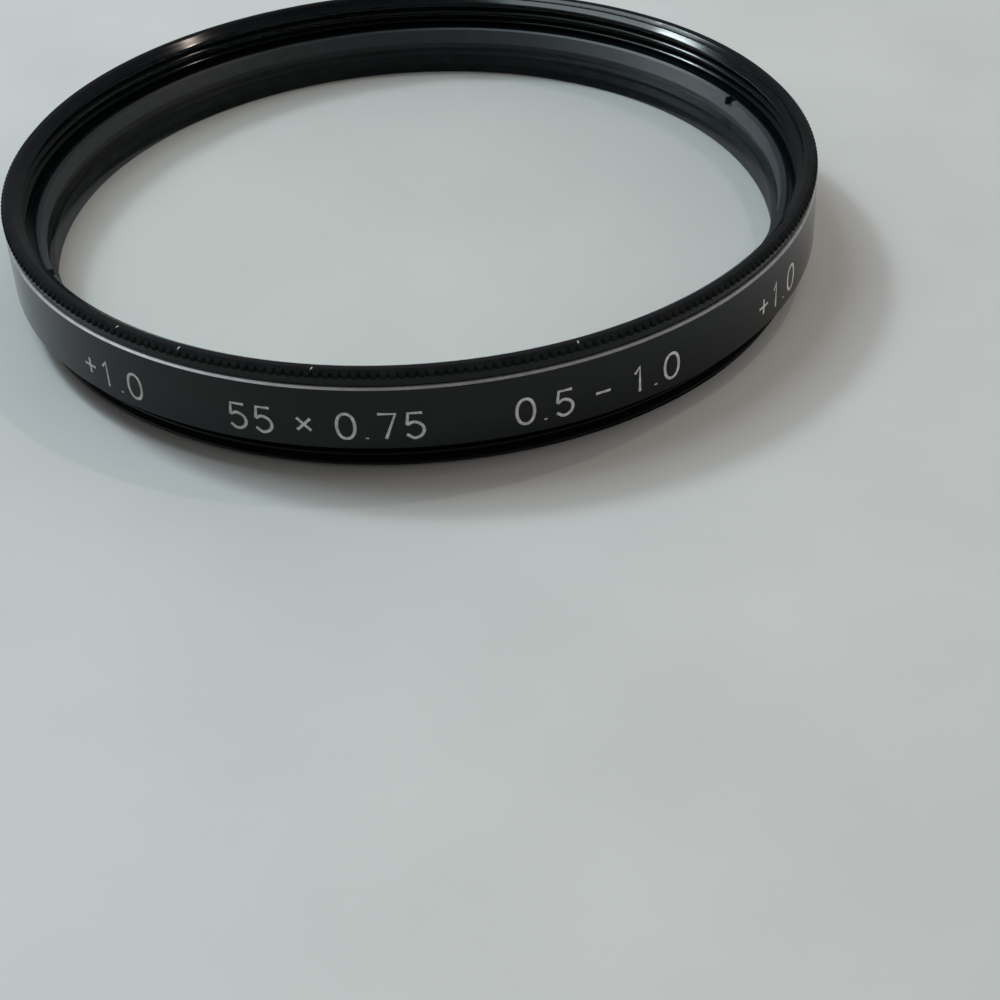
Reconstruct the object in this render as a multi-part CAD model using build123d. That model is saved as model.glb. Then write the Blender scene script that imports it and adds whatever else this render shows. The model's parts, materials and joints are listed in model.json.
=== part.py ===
from build123d import *
import os
from math import asin, cos, pi, sin, sqrt

# A 55 mm screw-in close-up lens: a turned rim, a weak lens and a slotted retaining ring.
# It lies on its rear face with the front thread up. Millimetres, +Z along the optical axis,
# origin at the centre of the rear face. Both filter threads are plain walls here.

# Filter thread, the size that everything else is set in from or out from
thread_diameter = 55.0
thread_pitch = 0.75
minor_drop_in_pitches = 1.0825

# Outside of the rim
band_overhang = 1.0
male_thread_length = 2.18
male_thread_chamfer = 0.3
shoulder_edge_break = 0.12
cut_line_bevel = 0.145
groove_height = 0.64
groove_below_knurl = 0.05
knurl_height = 0.55
knurl_pitch = 0.578
knurl_depth = 0.2
knurl_stock = 0.05
front_lead_in = 0.5

# Inside of the rim
front_thread_depth = 2.4
retainer_step = 0.494
pocket_step = 0.25
ledge_width = 0.95
ledge_height = 2.2

# Lens
glass_clearance = 0.05
glass_edge_thickness = 2.06
glass_edge_bevel = 0.12
front_radius = 380.0
dioptre = 1.0
glass_index = 1.523
seat_gap = 0.02

# Retaining ring
ring_clearance = 0.04
ring_recess = 0.03
ring_height = 1.04
ring_width = 0.66
ring_edge_bevel = 0.1
slot_width = 0.9
slot_depth = 0.55
slot_angle = 21.0
slot_count = 2

# Radii and curvatures that follow
male_radius = thread_diameter / 2
female_radius = male_radius - minor_drop_in_pitches * thread_pitch / 2
outer_radius = male_radius + band_overhang
groove_radius = outer_radius - knurl_depth - groove_below_knurl
retainer_radius = female_radius - retainer_step
pocket_radius = retainer_radius - pocket_step
aperture_radius = pocket_radius - ledge_width
glass_radius = pocket_radius - glass_clearance
ring_outer_radius = retainer_radius - ring_clearance
ring_inner_radius = ring_outer_radius - ring_width
front_curvature = 1 / front_radius
lens_power = dioptre / 1000
rear_curvature = front_curvature - lens_power / (glass_index - 1)


def sag(curvature, radius):
    """Depth of a spherical surface at a radius, measured from its pole."""
    return curvature * radius**2 / (1 + sqrt(1 - (curvature * radius) ** 2))


def front_surface(radius):
    """Height of the lens's front surface at a radius."""
    return glass_top + sag(front_curvature, glass_radius) - sag(front_curvature, radius)


# Heights that follow, from the ledge up through glass and ring to the front face, then down outside
glass_bottom = ledge_height + seat_gap
glass_top = glass_bottom + glass_edge_thickness
pocket_top = glass_top - glass_edge_bevel
ring_bottom = front_surface(ring_inner_radius) + seat_gap
ring_top = ring_bottom + ring_height
thread_floor = ring_top + ring_recess
total_height = thread_floor + front_thread_depth
knurl_bottom = total_height - knurl_height
groove_bottom = knurl_bottom - groove_height
cut_line_bottom = groove_bottom - cut_line_bevel


def turned(section):
    """Turn a closed outline of (radius, height) points about the optical axis."""
    outline = Polyline(*section, close=True)
    return revolve(Plane.XZ * make_face(outline), Axis.Z)


def filter_rim():
    """The turned rim. Its front bead has stock for the knurl, which cuts it to size."""
    bead_radius = outer_radius + knurl_stock
    outside = [
        (aperture_radius, 0),
        (male_radius - male_thread_chamfer, 0),
        (male_radius, male_thread_chamfer),
        (male_radius, male_thread_length),
        (outer_radius - shoulder_edge_break, male_thread_length),
        (outer_radius, male_thread_length + shoulder_edge_break),
        (outer_radius, cut_line_bottom),
        (outer_radius - cut_line_bevel, groove_bottom),
        (groove_radius, groove_bottom),
        (groove_radius, knurl_bottom),
        (bead_radius, knurl_bottom),
        (bead_radius, total_height),
    ]
    inside = [
        (female_radius + front_lead_in, total_height),
        (female_radius, total_height - front_lead_in),
        (female_radius, thread_floor),
        (retainer_radius, thread_floor),
        (retainer_radius, pocket_top),
        (pocket_radius, pocket_top),
        (pocket_radius, ledge_height),
        (aperture_radius, ledge_height),
    ]
    return turned(outside + inside) - knurl_waste()


def on_circle(radius, angle):
    """Point on a circle about the optical axis."""
    return (radius * cos(angle), radius * sin(angle))


def knurl_waste():
    """What the straight knurl takes off the bead: right-angled grooves between flat-topped teeth.

    It runs out into the smooth groove under the bead, which is a little deeper.
    """
    count = round(2 * pi * outer_radius / knurl_pitch)
    half_pitch = pi / count
    half_land = half_pitch - asin(knurl_depth / outer_radius)
    teeth = []
    for tooth in range(count):
        middle = 2 * half_pitch * tooth
        teeth.append(on_circle(outer_radius, middle - half_land))
        teeth.append(on_circle(outer_radius, middle + half_land))
        teeth.append(on_circle(outer_radius - knurl_depth, middle + half_pitch))
    stock = Circle(outer_radius + 2 * knurl_depth)
    waste = stock - make_face(Polyline(*teeth, close=True))
    runout = groove_height / 2
    return Pos(0, 0, knurl_bottom - runout) * extrude(waste, knurl_height + 2 * runout)


def grinding_ball(curvature, pole):
    """The ball whose top is a lens surface with its pole at this height."""
    radius = 1 / curvature
    return Pos(0, 0, pole - radius) * Rot(X=90) * Sphere(radius)


def lens_element():
    """The weak positive meniscus: a bevelled blank ground convex in front and hollow behind."""
    face_radius = glass_radius - glass_edge_bevel
    rear_pole = glass_bottom + sag(rear_curvature, face_radius)
    low_corner = glass_bottom + glass_edge_bevel
    high_corner = front_surface(face_radius) - glass_edge_bevel
    blank = turned(
        [
            (0, low_corner - glass_radius),
            (glass_radius, low_corner),
            (glass_radius, high_corner),
            (0, high_corner + glass_radius),
        ]
    )
    front = grinding_ball(front_curvature, front_surface(0))
    rear = grinding_ball(rear_curvature, rear_pole)
    return (blank & front) - rear


def retaining_ring():
    """The ring that is screwed down on the glass, with spanner slots across its top."""
    ring = turned(
        [
            (ring_inner_radius, ring_bottom),
            (ring_outer_radius - ring_edge_bevel, ring_bottom),
            (ring_outer_radius, ring_bottom + ring_edge_bevel),
            (ring_outer_radius, ring_top - ring_edge_bevel),
            (ring_outer_radius - ring_edge_bevel, ring_top),
            (ring_inner_radius + ring_edge_bevel, ring_top),
            (ring_inner_radius, ring_top - ring_edge_bevel),
        ]
    )
    slot = Box(2 * ring_width, slot_width, 2 * slot_depth)
    middle = ring_inner_radius + ring_width / 2
    around = PolarLocations(middle, slot_count, start_angle=slot_angle)
    return ring - [Pos(0, 0, ring_top) * place * slot for place in around]


os.makedirs("parts", exist_ok=True)
export_step(filter_rim(), "parts/filter_rim.step")
export_step(lens_element(), "parts/lens_element.step")
export_step(retaining_ring(), "parts/retaining_ring.step")
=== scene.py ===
import json
import math

import bmesh
import bpy
from mathutils import Matrix, Vector


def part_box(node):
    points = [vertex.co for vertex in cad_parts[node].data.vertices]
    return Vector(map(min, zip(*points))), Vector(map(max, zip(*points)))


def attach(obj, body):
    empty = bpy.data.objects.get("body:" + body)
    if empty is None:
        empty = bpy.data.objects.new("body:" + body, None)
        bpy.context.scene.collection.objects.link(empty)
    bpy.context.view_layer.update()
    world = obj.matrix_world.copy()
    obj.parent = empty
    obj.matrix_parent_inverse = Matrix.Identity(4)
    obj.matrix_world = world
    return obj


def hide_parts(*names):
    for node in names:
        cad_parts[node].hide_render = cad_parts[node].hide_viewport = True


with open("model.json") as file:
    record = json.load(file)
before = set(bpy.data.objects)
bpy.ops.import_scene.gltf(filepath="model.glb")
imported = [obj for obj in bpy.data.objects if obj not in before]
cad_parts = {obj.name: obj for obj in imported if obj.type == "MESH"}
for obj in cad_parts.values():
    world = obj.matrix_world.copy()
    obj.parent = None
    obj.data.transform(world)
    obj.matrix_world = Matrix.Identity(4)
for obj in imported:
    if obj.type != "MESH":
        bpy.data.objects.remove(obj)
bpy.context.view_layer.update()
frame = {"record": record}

# A 55 mm screw-in close-up lens. Pieces are modelled in millimetres, and made metres at the end.
MM = 0.001
TURN = 2 * math.pi
QUARTER_TURN = 0.25

# Sizes that the frame gives
MOUNTS = {mount["name"]: mount for mount in frame["record"]["mounts"]}
_, RIM_HIGH = (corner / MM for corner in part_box("filter_rim"))
LENS_LOW, LENS_HIGH = (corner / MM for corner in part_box("lens_element"))
RING_LOW, RING_HIGH = (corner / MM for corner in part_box("retaining_ring"))
OUTER_RADIUS = RIM_HIGH.x
FRONT = RIM_HIGH.z
SHOULDER = MOUNTS["rear_shoulder"]["pos_m"][2] / MM
MALE_RADIUS = MOUNTS["rear_thread"]["dims"]["r_mm"]
FEMALE_RADIUS = MOUNTS["front_thread"]["dims"]["r_mm"]

# Outside of the rim
EDGE_BREAK = 0.03
MALE_CHAMFER = 0.3
SHOULDER_BREAK = 0.12
KNURL_HEIGHT = 0.55
KNURL_DEPTH = 0.2
KNURL_BEVEL = 0.3
KNURL_TEETH = 310
COLUMNS_PER_TOOTH = 3
GROOVE_HEIGHT = 0.64
GROOVE_DEPTH = 0.25
CUT_LINE_BEVEL = 0.12
KNURL_BOTTOM = FRONT - KNURL_HEIGHT
GROOVE_BOTTOM = KNURL_BOTTOM - GROOVE_HEIGHT
CUT_LINE_BOTTOM = GROOVE_BOTTOM - CUT_LINE_BEVEL
BEVEL_BOTTOM = FRONT - KNURL_BEVEL
FACE_RADIUS = OUTER_RADIUS - KNURL_BEVEL

# Inside of the rim
LEAD_IN = 0.68
LEAD_IN_SLOPE = 0.66
RING_RECESS = 0.03
RING_CLEARANCE = 0.04
GLASS_CLEARANCE = 0.05
POCKET_TOP = 4.16
LEDGE = 2.2
LEDGE_WIDTH = 0.95
THREAD_FLOOR = RING_HIGH.z + RING_RECESS
RETAINER_RADIUS = RING_HIGH.x + RING_CLEARANCE
POCKET_RADIUS = LENS_HIGH.x + GLASS_CLEARANCE
APERTURE_RADIUS = POCKET_RADIUS - LEDGE_WIDTH

# Filter thread: its depth at shares of a pitch from a crest's middle, 0 at the crest and 1 at the root
PITCH = 0.75
THREAD_PROFILE = ((0.06, 0.0), (0.10, 0.06), (0.14, 0.17), (0.42, 1.0))
FEMALE_DEPTH = 0.41
FEMALE_CREST = FRONT - 1.514
MALE_DEPTH = 0.45
MALE_CREST = 0.62
RELIEF_BOTTOM = 1.86

# Lens and retaining ring
GLASS_FRONT_RADIUS = 380.0
GLASS_REAR_RADIUS = 1389.8
GLASS_BEVEL = 0.12
GLASS_ROWS = 14
GLASS_COLUMNS = 240
RING_WIDTH = 0.66
RING_BEVEL = 0.1
RING_TAPER = 0.16
RING_COLUMNS = 720
SLOT_WIDTH = 0.9
SLOT_DEPTH = 0.55
SLOT_ANGLES = (21.0, 201.0)

# How near counts as the same place
MERGE_REACH = 0.001
CUT_REACH = 0.00001
FLOOR_REACH = 0.0001
WALL_REACH = EDGE_BREAK / 10

# Engraved numerals: strokes of each figure in a cell one cap height tall
CAP_HEIGHT = 1.8
FIGURE_WIDTH = 0.68
FIGURE_ADVANCE = 0.94
NARROW_ADVANCE = {".": 0.46, " ": 0.5}
STROKE_WIDTH = 0.2
PAINT_RELIEF = 0.012
NUMERAL_BASE = 3.0
FIGURES = {
    "0": [("oval", [(0.34, 1.0), (0.03, 0.5), (0.34, 0.0), (0.65, 0.5)])],
    "1": [("line", [(0.16, 0.76), (0.36, 1.0), (0.36, 0.0)])],
    "5": [
        ("line", [(0.60, 1.0), (0.12, 1.0), (0.07, 0.54)]),
        ("bend", [(0.07, 0.54), (0.34, 0.64), (0.63, 0.33), (0.34, 0.0), (0.04, 0.15)]),
    ],
    "7": [("line", [(0.04, 1.0), (0.64, 1.0), (0.28, 0.0)])],
    ".": [("line", [(0.1, 0.0), (0.1, 0.05)])],
    "+": [("line", [(0.34, 0.2), (0.34, 0.8)]), ("line", [(0.04, 0.5), (0.64, 0.5)])],
    "x": [("line", [(0.1, 0.26), (0.58, 0.74)]), ("line", [(0.1, 0.74), (0.58, 0.26)])],
    "-": [("line", [(0.06, 0.5), (0.62, 0.5)])],
    " ": [],
}
NUMERALS = (("+1.0", 226.0), ("55 x 0.75", 257.0), ("0.5 - 1.0", 292.0), ("+1.0", 325.0))

# Small chips along the knurl's front edge, by azimuth in degrees
CHIPS = (228.3, 238.5, 256.2, 289.2)
CHIP_REACH = 0.25
CHIP_EDGE = (0.6, 0.85)
BARE_METAL = (0.55, 0.55, 0.54, 1)

# Black anodising: its darkest and lightest tones on each surface
RIM_TONES = ((0.0015, 0.0025, 0.0033), (0.003, 0.0045, 0.0058))
BORE_TONES = ((0.012, 0.014, 0.015), (0.018, 0.021, 0.023))
KNURL_TONES = ((0.010, 0.011, 0.012), (0.016, 0.017, 0.018))
RING_TONES = ((0.016, 0.021, 0.025), (0.022, 0.030, 0.036))

# The table top, a hair under the filter's rear face
TABLE_REACH = 1500.0
TABLE_CELLS = 8
TABLE_DROP = 0.02

# The camera, fitted to the photograph's view of the rim
CAMERA_PLACE = (0.0, -0.124964, 0.0706375)
CAMERA_TURN = (52.93526, 2.41147, -4.15128)
CAMERA_LENS = 70.2
CAMERA_SENSOR = 36.0
CAMERA_NEAR = 0.005

# Lamps: azimuth and elevation in degrees, distance, width and height in metres, watts and colour
DAYLIGHT = (0.85, 1.0, 1.04)
LAMPLIGHT = (1.0, 0.86, 0.74)
LAMPS = (
    ("cool_window", 144.0, 59.0, 0.6, 0.20, 0.38, 1.58, DAYLIGHT),
    ("bright_pane", 136.0, 51.0, 0.6, 0.075, 0.075, 1.0, DAYLIGHT),
    ("warm_lamp", 30.0, 61.5, 0.5, 0.012, 0.012, 0.2, LAMPLIGHT),
)

# Soft light from all round, stronger and warmer from the far right
WARM_SIDE = (0.93, 0.37, 0.0)
FILL_DIM = (0.25, 0.243, 0.232)
FILL_WARM = (1.20, 1.11, 1.00)
FILL_FOCUS = 1.0

# The room that the metal and the glass show: dim, paler at the back and on the window's side
WINDOW_SIDE = (-0.86, -0.05, 0.5)
BACK_SIDE = (0.0, 0.86, 0.51)
ROOM_DIM = (0.09, 0.09, 0.095)
ROOM_BACK = (0.18, 0.185, 0.185)
ROOM_WINDOW = (0.50, 0.54, 0.57)
UNLIT = (0.0, 0.0, 0.0)
BACK_FOCUS = 2.0
WINDOW_FOCUS = 6.0


def turned(section, columns, start=0.0, sectors=10):
    """Spin a section of (radius, height) points about the optical axis, one sector at a time.

    Gives the skin, whose sectors are still apart, and a list of each sector's vertices.
    """
    bm = bmesh.new()
    bm.verts.layers.float.new("worn")
    corners = [bm.verts.new((radius, 0, height)) for radius, height in section]
    edges = [bm.edges.new(pair) for pair in zip(corners, corners[1:])]
    turn_about_axis(bm, corners, start)
    bmesh.ops.spin(
        bm,
        geom=corners + edges,
        cent=(0, 0, 0),
        axis=(0, 0, 1),
        angle=TURN / sectors,
        steps=columns // sectors,
        use_merge=False,
    )
    wedge = bm.verts[:] + bm.edges[:] + bm.faces[:]
    parts = [bm.verts[:]]
    for sector in range(1, sectors):
        copy = bmesh.ops.duplicate(bm, geom=wedge)["geom"]
        parts.append([element for element in copy if isinstance(element, bmesh.types.BMVert)])
        turn_about_axis(bm, parts[-1], TURN * sector / sectors)
    return bm, parts


def turn_about_axis(bm, verts, angle):
    """Turn some vertices about the optical axis."""
    bmesh.ops.rotate(bm, verts=verts, cent=(0, 0, 0), matrix=Matrix.Rotation(angle, 3, "Z"))


def close_skin(bm):
    """Merge seams and poles, and turn every face outwards."""
    bmesh.ops.remove_doubles(bm, verts=bm.verts, dist=MERGE_REACH)
    bmesh.ops.recalc_face_normals(bm, faces=bm.faces)


def finished(bm, name, materials, sharp_angle=32.0):
    """Make the modelled skin an object in metres, smooth between its sharp edges."""
    bmesh.ops.scale(bm, vec=(MM, MM, MM), verts=bm.verts)
    mesh = bpy.data.meshes.new(name)
    bm.to_mesh(mesh)
    bm.free()
    for face in mesh.polygons:
        face.use_smooth = True
    mesh.set_sharp_from_angle(angle=math.radians(sharp_angle))
    for material in materials:
        mesh.materials.append(material)
    piece = bpy.data.objects.new(name, mesh)
    bpy.context.scene.collection.objects.link(piece)
    return piece


def thread_rows(crest, low, high):
    """Heights of a thread's corners, from a pitch or more under its low end up past its high end."""
    first = math.floor((low - crest) / PITCH) - 2
    last = math.ceil((high - crest) / PITCH)
    after_crest = [share for share, _ in THREAD_PROFILE]
    before_crest = [1.0 - share for share in reversed(after_crest)]
    turns = range(first, last + 1)
    return [crest + PITCH * (turn + share) for turn in turns for share in after_crest + before_crest]


def thread_cut(crest, height, turn):
    """How deep the thread is at a height and a share of a turn: 0 at its crest and 1 at its root."""
    phase = ((height - crest) / PITCH - turn) % 1.0
    off_crest = min(phase, 1.0 - phase)
    for (near, shallow), (far, deep) in zip(THREAD_PROFILE, THREAD_PROFILE[1:]):
        if off_crest < far:
            return shallow + (deep - shallow) * max(0.0, off_crest - near) / (far - near)
    return 1.0


def rim_section():
    """The rim's outline, with straight rows where the threads will be cut."""
    outside = [
        (OUTER_RADIUS - SHOULDER_BREAK, SHOULDER),
        (OUTER_RADIUS, SHOULDER + SHOULDER_BREAK),
        (OUTER_RADIUS, CUT_LINE_BOTTOM),
        (OUTER_RADIUS - CUT_LINE_BEVEL, GROOVE_BOTTOM),
        (OUTER_RADIUS - GROOVE_DEPTH, GROOVE_BOTTOM),
        (OUTER_RADIUS - GROOVE_DEPTH, KNURL_BOTTOM),
        (OUTER_RADIUS - EDGE_BREAK, KNURL_BOTTOM),
        (OUTER_RADIUS, KNURL_BOTTOM + EDGE_BREAK),
        (OUTER_RADIUS, BEVEL_BOTTOM),
        (FACE_RADIUS, FRONT),
        (FEMALE_RADIUS + LEAD_IN + EDGE_BREAK, FRONT),
    ]
    inside = [
        (RETAINER_RADIUS, THREAD_FLOOR),
        (RETAINER_RADIUS, POCKET_TOP),
        (POCKET_RADIUS, POCKET_TOP),
        (POCKET_RADIUS, LEDGE),
        (APERTURE_RADIUS + EDGE_BREAK, LEDGE),
        (APERTURE_RADIUS, LEDGE - EDGE_BREAK),
        (APERTURE_RADIUS, EDGE_BREAK),
        (APERTURE_RADIUS + EDGE_BREAK, 0.0),
    ]
    relief_radius = MALE_RADIUS - MALE_DEPTH
    relief = [(relief_radius, RELIEF_BOTTOM), (relief_radius, SHOULDER)]
    male = [(MALE_RADIUS, height) for height in thread_rows(MALE_CREST, 0.0, RELIEF_BOTTOM)]
    female_rows = thread_rows(FEMALE_CREST, THREAD_FLOOR, FRONT - EDGE_BREAK)
    female = [(FEMALE_RADIUS, height) for height in reversed(female_rows)]
    return inside[-1:] + male + relief + outside + female + inside


def set_radius(vertex, radius):
    """Move a vertex straight out or in from the optical axis."""
    scale = radius / math.hypot(vertex.co.x, vertex.co.y)
    vertex.co.x *= scale
    vertex.co.y *= scale


def cut_male_thread(vertex, turn):
    """Lift a row along the rear thread's climb, and set it to the thread's depth there."""
    vertex.co.z = min(max(vertex.co.z + PITCH * turn, 0.0), RELIEF_BOTTOM)
    radius = MALE_RADIUS - MALE_DEPTH * thread_cut(MALE_CREST, vertex.co.z, turn)
    set_radius(vertex, min(radius, MALE_RADIUS - MALE_CHAMFER + vertex.co.z))


def cut_female_thread(vertex, turn):
    """Lift a row along the front thread's climb, and set it to the thread or the lead-in cone."""
    vertex.co.z = min(max(vertex.co.z + PITCH * turn, THREAD_FLOOR), FRONT - EDGE_BREAK)
    radius = FEMALE_RADIUS + FEMALE_DEPTH * thread_cut(FEMALE_CREST, vertex.co.z, turn)
    set_radius(vertex, max(radius, FEMALE_RADIUS + LEAD_IN + (vertex.co.z - FRONT) / LEAD_IN_SLOPE))


def shape_rim(vertex, turn, columns, worn):
    """Cut the threads and the knurl at one vertex, which is at a share of a turn."""
    radius = math.hypot(vertex.co.x, vertex.co.y)
    if abs(radius - MALE_RADIUS) < WALL_REACH:
        cut_male_thread(vertex, turn)
    elif abs(radius - FEMALE_RADIUS) < WALL_REACH:
        cut_female_thread(vertex, turn)
    elif radius > OUTER_RADIUS - 2 * EDGE_BREAK and vertex.co.z > GROOVE_BOTTOM:
        if round(turn * columns) % COLUMNS_PER_TOOTH == COLUMNS_PER_TOOTH - 1:
            cut_knurl(vertex, radius)
    elif vertex.co.z > BEVEL_BOTTOM and radius > FACE_RADIUS - EDGE_BREAK:
        vertex[worn] = chip_at(360.0 * turn)


def cut_knurl(vertex, radius):
    """Sink a vertex to the bottom of a knurl groove, which runs out on the bevel above it."""
    set_radius(vertex, radius - KNURL_DEPTH)
    if vertex.co.z > BEVEL_BOTTOM - EDGE_BREAK:
        vertex.co.z += KNURL_DEPTH


def rim_piece(materials):
    """The turned rim with both threads, its straight knurl and its bright cut line."""
    columns = KNURL_TEETH * COLUMNS_PER_TOOTH
    start = -0.5 * TURN / columns
    bm, sectors = turned(rim_section(), columns, start)
    worn = bm.verts.layers.float["worn"]
    for number, verts in enumerate(sectors):
        middle = (number + 0.5) / len(sectors)
        for vertex in verts:
            angle = math.atan2(vertex.co.y, vertex.co.x) - start
            off_middle = math.remainder(angle - TURN * middle, TURN)
            shape_rim(vertex, middle + off_middle / TURN, columns, worn)
    close_skin(bm)
    for face in bm.faces:
        middle = face.calc_center_median()
        face.material_index = rim_surface(math.hypot(middle.x, middle.y), middle.z)
    return finished(bm, "turned_rim", materials)


def rim_surface(radius, height):
    """Which of the rim's surfaces a face is on: the bright cut line, the bore, the knurl or the rest."""
    if radius > OUTER_RADIUS - GROOVE_DEPTH and CUT_LINE_BOTTOM < height < GROOVE_BOTTOM:
        return 1
    if radius < RETAINER_RADIUS + EDGE_BREAK and height < THREAD_FLOOR:
        return 2
    return 3 if radius > FACE_RADIUS and height > KNURL_BOTTOM else 0


def chip_at(azimuth):
    """1 where the knurl's front edge is chipped to bare metal, and 0 elsewhere."""
    return float(any(abs(azimuth - chip) < CHIP_REACH for chip in CHIPS))


def sag(surface_radius, radius):
    """Depth of a ground surface at a radius, from its pole."""
    return surface_radius - math.sqrt(surface_radius**2 - radius**2)


def lens_piece(materials):
    """The clear meniscus lens, polished in front and behind, with a bevelled ground edge."""
    edge = LENS_HIGH.x
    face_edge = edge - GLASS_BEVEL
    rear_pole = LENS_LOW.z + sag(GLASS_REAR_RADIUS, face_edge)
    radii = [face_edge * row / GLASS_ROWS for row in range(GLASS_ROWS + 1)]
    front = [(radius, LENS_HIGH.z - sag(GLASS_FRONT_RADIUS, radius)) for radius in radii]
    rear = [(radius, rear_pole - sag(GLASS_REAR_RADIUS, radius)) for radius in radii]
    bevels = [(edge, front[-1][1] - GLASS_BEVEL), (edge, LENS_LOW.z + GLASS_BEVEL)]
    bm, _ = turned(front + bevels + rear[::-1], GLASS_COLUMNS)
    close_skin(bm)
    for face in bm.faces:
        middle = face.calc_center_median()
        face.material_index = int(math.hypot(middle.x, middle.y) > face_edge)
    return finished(bm, "lens_glass", materials)


def cut_faces(bm, faces, point, normal):
    """Cut some faces along a plane."""
    edges = {edge for face in faces for edge in face.edges}
    corners = {corner for face in faces for corner in face.verts}
    geom = list(faces) + list(edges) + list(corners)
    bmesh.ops.bisect_plane(bm, geom=geom, dist=CUT_REACH, plane_co=point, plane_no=normal)


def mill_slot(bm, azimuth):
    """Mill one spanner slot straight across the retaining ring's top."""
    angle = math.radians(azimuth)
    outwards = Vector((math.cos(angle), math.sin(angle), 0))
    across = Vector((-math.sin(angle), math.cos(angle), 0))
    bottom = RING_HIGH.z - SLOT_DEPTH

    def by_the_slot(face, reach):
        middle = face.calc_center_median()
        return middle.dot(outwards) > 0 and abs(middle.dot(across)) < reach

    for side in (-1, 1):
        near = [face for face in bm.faces if by_the_slot(face, SLOT_WIDTH)]
        cut_faces(bm, near, across * side * SLOT_WIDTH / 2, across)
    near = [face for face in bm.faces if by_the_slot(face, SLOT_WIDTH / 2)]
    cut_faces(bm, near, Vector((0, 0, bottom)), Vector((0, 0, 1)))
    near = [face for face in bm.faces if by_the_slot(face, SLOT_WIDTH / 2)]
    waste = [face for face in near if face.calc_center_median().z > bottom]
    bmesh.ops.delete(bm, geom=waste, context="FACES")
    line_slot(bm, bottom)


def line_slot(bm, bottom):
    """Give a milled slot its floor, and then its walls."""
    open_edges = [edge for edge in bm.edges if edge.is_boundary]
    highest = bottom + FLOOR_REACH
    low = [edge for edge in open_edges if max(corner.co.z for corner in edge.verts) < highest]
    bmesh.ops.bridge_loops(bm, edges=low)
    walls = [edge for edge in bm.edges if edge.is_boundary]
    bmesh.ops.holes_fill(bm, edges=walls, sides=0)


def ring_piece(material):
    """The retaining ring, with two spanner slots in its top."""
    outer = RING_HIGH.x
    inner = outer - RING_WIDTH
    section = [
        (inner, RING_LOW.z),
        (outer - RING_BEVEL, RING_LOW.z),
        (outer, RING_LOW.z + RING_BEVEL),
        (outer, RING_HIGH.z - RING_BEVEL),
        (outer - RING_BEVEL, RING_HIGH.z),
        (inner + RING_TAPER, RING_HIGH.z),
        (inner, RING_LOW.z),
    ]
    bm, _ = turned(section, RING_COLUMNS)
    close_skin(bm)
    for azimuth in SLOT_ANGLES:
        mill_slot(bm, azimuth)
    bmesh.ops.recalc_face_normals(bm, faces=bm.faces)
    return finished(bm, "slotted_ring", [material])


def engrave_stroke(curve, kind, points, left):
    """Add one stroke of a figure to the engraving's curve."""
    spline = curve.splines.new("BEZIER")
    spline.bezier_points.add(len(points) - 1)
    for knot, (across, up) in zip(spline.bezier_points, points):
        knot.co = ((left + across) * CAP_HEIGHT, up * CAP_HEIGHT, 0)
        knot.handle_left_type = knot.handle_right_type = "VECTOR" if kind == "line" else "AUTO"
    spline.use_cyclic_u = kind == "oval"


def engraved_group(text):
    """One group of numerals as flat rounded strokes, centred across."""
    curve = bpy.data.curves.new("strokes", "CURVE")
    curve.dimensions = "3D"
    curve.bevel_depth = STROKE_WIDTH / 2
    curve.bevel_resolution = 2
    curve.resolution_u = 8
    curve.use_fill_caps = True
    advances = [NARROW_ADVANCE.get(figure, FIGURE_ADVANCE) for figure in text]
    left = (FIGURE_ADVANCE - FIGURE_WIDTH - sum(advances)) / 2
    for figure, advance in zip(text, advances):
        for kind, points in FIGURES[figure]:
            engrave_stroke(curve, kind, points, left)
        left += advance
    holder = bpy.data.objects.new("strokes", curve)
    bpy.context.scene.collection.objects.link(holder)
    bpy.context.view_layer.update()
    mesh = bpy.data.meshes.new_from_object(holder)
    bpy.data.objects.remove(holder)
    return mesh


def numerals_piece(material):
    """White-filled numerals, wrapped on the band."""
    bm = bmesh.new()
    for text, azimuth in NUMERALS:
        done = set(bm.verts)
        bm.from_mesh(engraved_group(text))
        for vertex in bm.verts:
            if vertex not in done:
                wrap_on_band(vertex, math.radians(azimuth))
    close_skin(bm)
    return finished(bm, "band_numerals", [material], sharp_angle=80.0)


def wrap_on_band(vertex, middle):
    """Move a vertex of the flat strokes onto the band, pressed down to the paint's relief."""
    along, up, out = vertex.co
    angle = middle + along / OUTER_RADIUS
    radius = OUTER_RADIUS + out / (STROKE_WIDTH / 2) * PAINT_RELIEF
    vertex.co = (radius * math.cos(angle), radius * math.sin(angle), NUMERAL_BASE + up)


def add_node(tree, kind, **values):
    """Add a shader node, with its plain inputs by name."""
    node = tree.nodes.new(kind)
    for name, value in values.items():
        node.inputs[name.replace("_", " ")].default_value = value
    return node


def new_surface(name):
    """A material with its node tree and its main shader."""
    material = bpy.data.materials.new(name)
    material.use_nodes = True
    return material, material.node_tree, material.node_tree.nodes["Principled BSDF"]


def turning_marks(tree, scale):
    """Noise in fine rings about the optical axis, as a lathe tool leaves, from radius and height."""
    place = add_node(tree, "ShaderNodeTexCoord")
    split = add_node(tree, "ShaderNodeSeparateXYZ")
    flat = add_node(tree, "ShaderNodeCombineXYZ")
    length = add_node(tree, "ShaderNodeVectorMath")
    length.operation = "LENGTH"
    both = add_node(tree, "ShaderNodeCombineXYZ")
    noise = add_node(tree, "ShaderNodeTexNoise", Scale=scale, Detail=2.0)
    link = tree.links.new
    link(place.outputs["Object"], split.inputs[0])
    link(split.outputs["X"], flat.inputs["X"])
    link(split.outputs["Y"], flat.inputs["Y"])
    link(flat.outputs[0], length.inputs[0])
    link(length.outputs["Value"], both.inputs["X"])
    link(split.outputs["Z"], both.inputs["Y"])
    link(both.outputs[0], noise.inputs["Vector"])
    return noise.outputs["Fac"]


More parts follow.
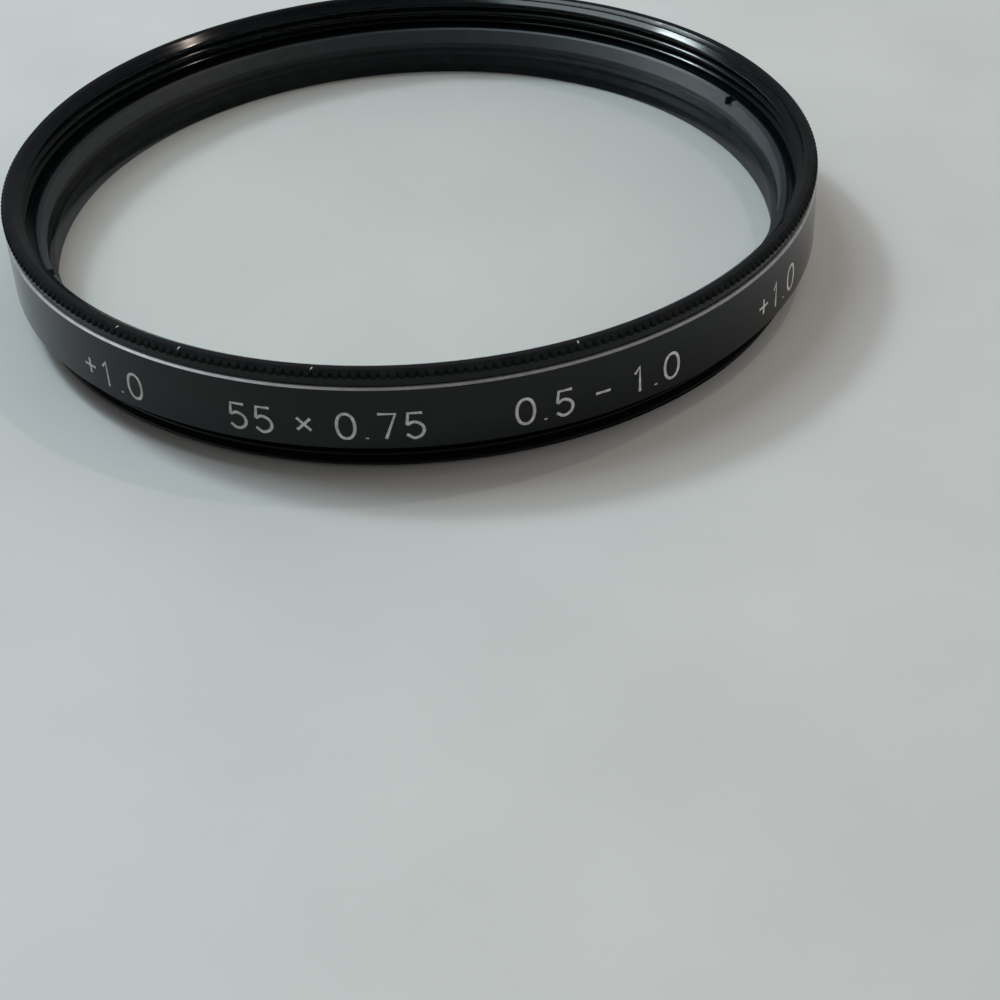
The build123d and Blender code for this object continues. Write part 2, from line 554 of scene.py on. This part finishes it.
def cloud(tree, scale, detail=3.0):
    """Soft noise through the piece."""
    place = add_node(tree, "ShaderNodeTexCoord")
    noise = add_node(tree, "ShaderNodeTexNoise", Scale=scale, Detail=detail)
    tree.links.new(place.outputs["Object"], noise.inputs["Vector"])
    return noise.outputs["Fac"]


def between(tree, source, low, high):
    """Spread a noise between two plain values."""
    spread = add_node(tree, "ShaderNodeMapRange", From_Min=0.3, From_Max=0.7, To_Min=low, To_Max=high)
    tree.links.new(source, spread.inputs["Value"])
    return spread.outputs["Result"]


def shade_mix(tree, source, dark, light):
    """A colour between two, by a noise."""
    ramp = add_node(tree, "ShaderNodeValToRGB")
    ramp.color_ramp.elements[0].position = 0.35
    ramp.color_ramp.elements[0].color = (*dark, 1)
    ramp.color_ramp.elements[1].position = 0.7
    ramp.color_ramp.elements[1].color = (*light, 1)
    tree.links.new(source, ramp.inputs["Fac"])
    return ramp.outputs["Color"]


def raise_marks(tree, shader, height, depth):
    """Let a noise stand up from the surface by a depth in metres."""
    bump = add_node(tree, "ShaderNodeBump", Strength=1.0, Distance=depth)
    tree.links.new(height, bump.inputs["Height"])
    tree.links.new(bump.outputs["Normal"], shader.inputs["Normal"])


def turned_grain(tree, shader, amount):
    """Make a sheen stretch across the turning marks, which run round the optical axis."""
    round_axis = add_node(tree, "ShaderNodeTangent")
    round_axis.direction_type = "RADIAL"
    round_axis.axis = "Z"
    tree.links.new(round_axis.outputs[0], shader.inputs["Tangent"])
    shader.inputs["Anisotropic"].default_value = amount
    shader.inputs["Anisotropic Rotation"].default_value = QUARTER_TURN


def chipped(tree, colour):
    """A finish's colour, with bare metal where it is chipped."""
    chips = add_node(tree, "ShaderNodeAttribute")
    chips.attribute_name = "worn"
    edge = add_node(tree, "ShaderNodeMapRange", From_Min=CHIP_EDGE[0], From_Max=CHIP_EDGE[1])
    bare = add_node(tree, "ShaderNodeMix")
    bare.data_type = "RGBA"
    bare.inputs["B"].default_value = BARE_METAL
    link = tree.links.new
    link(chips.outputs["Fac"], edge.inputs["Value"])
    link(edge.outputs["Result"], bare.inputs["Factor"])
    link(colour, bare.inputs["A"])
    return bare.outputs["Result"]


def black_anodise(name, tones, rough, gloss, shine=0.5, grain=0.85):
    """Satin black anodised aluminium, with faint turning marks and chips to bare metal."""
    material, tree, shader = new_surface(name)
    link = tree.links.new
    colour = shade_mix(tree, cloud(tree, scale=900.0), *tones)
    link(chipped(tree, colour), shader.inputs["Base Color"])
    marks = turning_marks(tree, scale=9000.0)
    link(between(tree, marks, rough - 0.03, rough + 0.03), shader.inputs["Roughness"])
    raise_marks(tree, shader, marks, depth=0.000001)
    turned_grain(tree, shader, grain)
    shader.inputs["IOR"].default_value = gloss
    shader.inputs["Specular IOR Level"].default_value = shine
    return material


def cut_aluminium():
    """Bare aluminium, cut bright through the anodising."""
    material, tree, shader = new_surface("bright_cut_aluminium")
    link = tree.links.new
    marks = turning_marks(tree, scale=14000.0)
    colour = shade_mix(tree, cloud(tree, scale=1500.0), (0.74, 0.75, 0.76), (0.92, 0.92, 0.92))
    link(colour, shader.inputs["Base Color"])
    link(between(tree, marks, 0.16, 0.28), shader.inputs["Roughness"])
    raise_marks(tree, shader, marks, depth=0.000002)
    turned_grain(tree, shader, amount=0.5)
    shader.inputs["Metallic"].default_value = 0.75
    return material


def ground_edge():
    """The lens's fine-ground edge, blacked against stray light."""
    material, tree, shader = new_surface("blacked_ground_edge")
    grit = cloud(tree, scale=6000.0, detail=4.0)
    colour = shade_mix(tree, grit, (0.014, 0.018, 0.021), (0.024, 0.030, 0.034))
    tree.links.new(colour, shader.inputs["Base Color"])
    tree.links.new(between(tree, grit, 0.75, 0.9), shader.inputs["Roughness"])
    raise_marks(tree, shader, grit, depth=0.000004)
    return material


def either(tree, first, second):
    """The larger of two shares."""
    larger = add_node(tree, "ShaderNodeMath")
    larger.operation = "MAXIMUM"
    tree.links.new(first, larger.inputs[0])
    tree.links.new(second, larger.inputs[1])
    return larger.outputs[0]


def clear_glass():
    """Clear optical glass with a faint film of dust. Lamps shine through it without being bent."""
    material, tree, shader = new_surface("clear_lens_glass")
    link = tree.links.new
    film = cloud(tree, scale=120.0, detail=6.0)
    link(shade_mix(tree, film, (0.99, 1.0, 0.995), (1.0, 1.0, 1.0)), shader.inputs["Base Color"])
    link(between(tree, film, 0.0, 0.05), shader.inputs["Roughness"])
    shader.inputs["IOR"].default_value = 1.523
    shader.inputs["Specular Tint"].default_value = (0.35, 0.36, 0.40, 1)
    shader.inputs["Transmission Weight"].default_value = 1.0
    open_way = add_node(tree, "ShaderNodeBsdfTransparent", Color=(0.99, 0.995, 0.99, 1))
    path = add_node(tree, "ShaderNodeLightPath")
    lamp_or_bounce = either(tree, path.outputs["Is Shadow Ray"], path.outputs["Is Diffuse Ray"])
    mix = add_node(tree, "ShaderNodeMixShader")
    link(lamp_or_bounce, mix.inputs["Fac"])
    link(shader.outputs[0], mix.inputs[1])
    link(open_way.outputs[0], mix.inputs[2])
    link(mix.outputs[0], tree.nodes["Material Output"].inputs["Surface"])
    return material


def numeral_paint():
    """White paint, rubbed into the engraving and a little worn."""
    material, tree, shader = new_surface("white_engraving_paint")
    wear = cloud(tree, scale=2500.0, detail=4.0)
    colour = shade_mix(tree, wear, (0.42, 0.43, 0.42), (0.72, 0.73, 0.72))
    tree.links.new(colour, shader.inputs["Base Color"])
    tree.links.new(between(tree, wear, 0.5, 0.7), shader.inputs["Roughness"])
    raise_marks(tree, shader, wear, depth=0.000006)
    return material


def pale_table():
    """A plain pale table top."""
    material, tree, shader = new_surface("pale_table_top")
    tone = cloud(tree, scale=60.0, detail=5.0)
    colour = shade_mix(tree, tone, (0.508, 0.517, 0.522), (0.538, 0.547, 0.552))
    tree.links.new(colour, shader.inputs["Base Color"])
    tree.links.new(between(tree, tone, 0.5, 0.6), shader.inputs["Roughness"])
    shader.inputs["Specular IOR Level"].default_value = 0.3
    return material


def table_top(material):
    """The floor that the filter lies on."""
    bm = bmesh.new()
    bmesh.ops.create_grid(bm, x_segments=TABLE_CELLS, y_segments=TABLE_CELLS, size=TABLE_REACH)
    bmesh.ops.translate(bm, vec=(0, 0, -TABLE_DROP), verts=bm.verts)
    return finished(bm, "table_top", [material])


def area_light(name, azimuth, elevation, distance, width, height, power, colour):
    """A soft lamp that faces the filter."""
    lamp = bpy.data.lights.new(name, "AREA")
    lamp.shape = "RECTANGLE"
    lamp.size = width
    lamp.size_y = height
    lamp.energy = power
    lamp.color = colour
    holder = bpy.data.objects.new(name, lamp)
    around = math.radians(azimuth)
    up = math.radians(elevation)
    flat = distance * math.cos(up)
    place = Vector((flat * math.cos(around), flat * math.sin(around), distance * math.sin(up)))
    facing = place.to_track_quat("Z", "Y").to_matrix().to_4x4()
    holder.matrix_world = Matrix.Translation(place) @ facing
    bpy.context.scene.collection.objects.link(holder)


def towards(tree, side, power, dim, bright):
    """A tone by direction: dim all round, and brighter the nearer a direction is to one side."""
    place = add_node(tree, "ShaderNodeTexCoord")
    dot = add_node(tree, "ShaderNodeVectorMath")
    dot.operation = "DOT_PRODUCT"
    dot.inputs[1].default_value = side
    near = add_node(tree, "ShaderNodeMath")
    near.operation = "MAXIMUM"
    near.inputs[1].default_value = 0.0
    ease = add_node(tree, "ShaderNodeMath")
    ease.operation = "POWER"
    ease.inputs[1].default_value = power
    tone = add_node(tree, "ShaderNodeMix")
    tone.data_type = "RGBA"
    tone.inputs["A"].default_value = (*dim, 1)
    tone.inputs["B"].default_value = (*bright, 1)
    link = tree.links.new
    link(place.outputs["Generated"], dot.inputs[0])
    link(dot.outputs["Value"], near.inputs[0])
    link(near.outputs[0], ease.inputs[0])
    link(ease.outputs[0], tone.inputs["Factor"])
    return tone.outputs["Result"]


def seen_share(tree):
    """1 for what is seen, straight, mirrored or through the glass, and 0 for what only lights."""
    path = add_node(tree, "ShaderNodeLightPath")
    shown = either(tree, path.outputs["Is Camera Ray"], path.outputs["Is Glossy Ray"])
    return either(tree, shown, path.outputs["Is Transmission Ray"])


def room_light():
    """Soft light from all round, with a room for the metal and the glass to show."""
    world = bpy.data.worlds.new("soft_room")
    world.use_nodes = True
    bpy.context.scene.world = world
    tree = world.node_tree
    link = tree.links.new
    soft = tree.nodes["Background"]
    link(towards(tree, WARM_SIDE, FILL_FOCUS, FILL_DIM, FILL_WARM), soft.inputs["Color"])
    room = add_node(tree, "ShaderNodeBackground")
    both = add_node(tree, "ShaderNodeMix")
    both.data_type = "RGBA"
    both.blend_type = "ADD"
    both.inputs["Factor"].default_value = 1.0
    link(towards(tree, BACK_SIDE, BACK_FOCUS, ROOM_DIM, ROOM_BACK), both.inputs["A"])
    link(towards(tree, WINDOW_SIDE, WINDOW_FOCUS, UNLIT, ROOM_WINDOW), both.inputs["B"])
    link(both.outputs["Result"], room.inputs["Color"])
    mix = add_node(tree, "ShaderNodeMixShader")
    link(seen_share(tree), mix.inputs["Fac"])
    link(soft.outputs[0], mix.inputs[1])
    link(room.outputs[0], mix.inputs[2])
    link(mix.outputs[0], tree.nodes["World Output"].inputs["Surface"])


def photo_camera():
    """The camera where the photograph was taken from."""
    camera = bpy.data.cameras.new("photo_camera")
    camera.lens = CAMERA_LENS
    camera.sensor_width = CAMERA_SENSOR
    camera.clip_start = CAMERA_NEAR
    holder = bpy.data.objects.new("photo_camera", camera)
    holder.location = CAMERA_PLACE
    holder.rotation_euler = [math.radians(angle) for angle in CAMERA_TURN]
    bpy.context.scene.collection.objects.link(holder)
    bpy.context.scene.camera = holder


bpy.context.scene.view_settings.view_transform = "Standard"

rim_black = black_anodise("rim_black_anodise", RIM_TONES, rough=0.15, gloss=1.34)
bore_black = black_anodise("bore_black_anodise", BORE_TONES, rough=0.5, gloss=1.4, shine=0.02)
knurl_black = black_anodise("knurl_black_anodise", KNURL_TONES, rough=0.4, gloss=1.4, shine=0.01)
rim = rim_piece([rim_black, cut_aluminium(), bore_black, knurl_black])
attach(rim, "root")
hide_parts("filter_rim")

lens = lens_piece([clear_glass(), ground_edge()])
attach(lens, "root")
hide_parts("lens_element")

ring_black = black_anodise("ring_black_anodise", RING_TONES, rough=0.55, gloss=1.8, grain=0.9)
ring = ring_piece(ring_black)
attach(ring, "root")
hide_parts("retaining_ring")

numerals = numerals_piece(numeral_paint())
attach(numerals, "root")

table = table_top(pale_table())

for lamp in LAMPS:
    area_light(*lamp)
room_light()
photo_camera()
